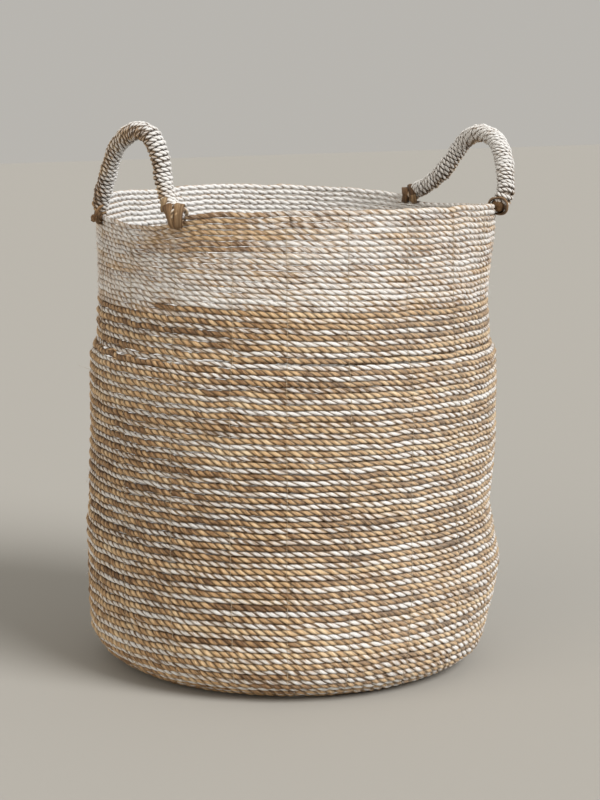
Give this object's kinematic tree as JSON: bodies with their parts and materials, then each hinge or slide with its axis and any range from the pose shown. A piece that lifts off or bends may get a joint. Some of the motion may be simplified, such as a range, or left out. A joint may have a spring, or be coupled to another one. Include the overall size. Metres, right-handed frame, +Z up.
{
  "type": "seagrass storage basket",
  "caption": "Tall round storage basket of coiled seagrass rope with a plain pale band under the rim, striped body, rounded base corner and arched rope handles.",
  "frame": {"origin": "on the basket's axis, at the flat underside of its base", "axes": "+Z up along the basket's axis; the two handles stand near -X (left) and +X (right), both a little towards -Y (5.5 and 11.2 degrees), which is the side shown to the front"},
  "size_m": [0.427, 0.4216, 0.5618],
  "materials": {
    "seagrass_dark": "matte twisted seagrass rope, brown",
    "seagrass_striped": "matte twisted rope, natural and whitewashed rows in turn",
    "seagrass_whitewashed": "dry chalky white paint over twisted seagrass rope",
    "handle_core": "matte bundle of plant fibre",
    "handle_cord": "whitewashed twisted cord, brown in the grooves",
    "lashing": "flat dry seagrass strip",
    "stitch_thread": "thin pale twine"
  },
  "bodies": {
    "basket": {"base_coil": "seagrass_dark", "corner_course": "seagrass_striped", "striped_wall": "seagrass_striped", "striped_shoulder": "seagrass_striped", "white_band": "seagrass_whitewashed", "rim_row": "seagrass_whitewashed", "left_handle_lashing_a": "lashing", "left_handle_lashing_b": "lashing", "right_handle_lashing_a": "lashing", "right_handle_lashing_b": "lashing", "left_handle_knot": "lashing", "stitch_01": "stitch_thread", "stitch_02": "stitch_thread", "stitch_03": "stitch_thread", "stitch_04": "stitch_thread", "stitch_05": "stitch_thread", "stitch_06": "stitch_thread", "stitch_07": "stitch_thread", "stitch_08": "stitch_thread", "stitch_09": "stitch_thread", "stitch_10": "stitch_thread", "stitch_11": "stitch_thread", "stitch_12": "stitch_thread", "stitch_13": "stitch_thread", "stitch_14": "stitch_thread", "stitch_15": "stitch_thread", "stitch_16": "stitch_thread", "stitch_17": "stitch_thread", "stitch_18": "stitch_thread", "stitch_19": "stitch_thread", "stitch_20": "stitch_thread"},
    "handle_left": {"left_handle_core": "handle_core", "left_handle_wrap": "handle_cord"},
    "handle_right": {"right_handle_core": "handle_core", "right_handle_wrap": "handle_cord"}
  },
  "joints": [
    {"name": "left_handle_hinge", "type": "hinge", "parent": "basket", "child": "handle_left", "pos_m": [-0.18971, -0.01827, 0.4888], "axis": [0.0958, -0.9954, 0], "range_deg": [-72, 58]},
    {"name": "right_handle_hinge", "type": "hinge", "parent": "basket", "child": "handle_right", "pos_m": [0.17512, -0.03467, 0.4888], "axis": [0.1942, 0.981, 0], "range_deg": [-102, 28]}
  ]
}
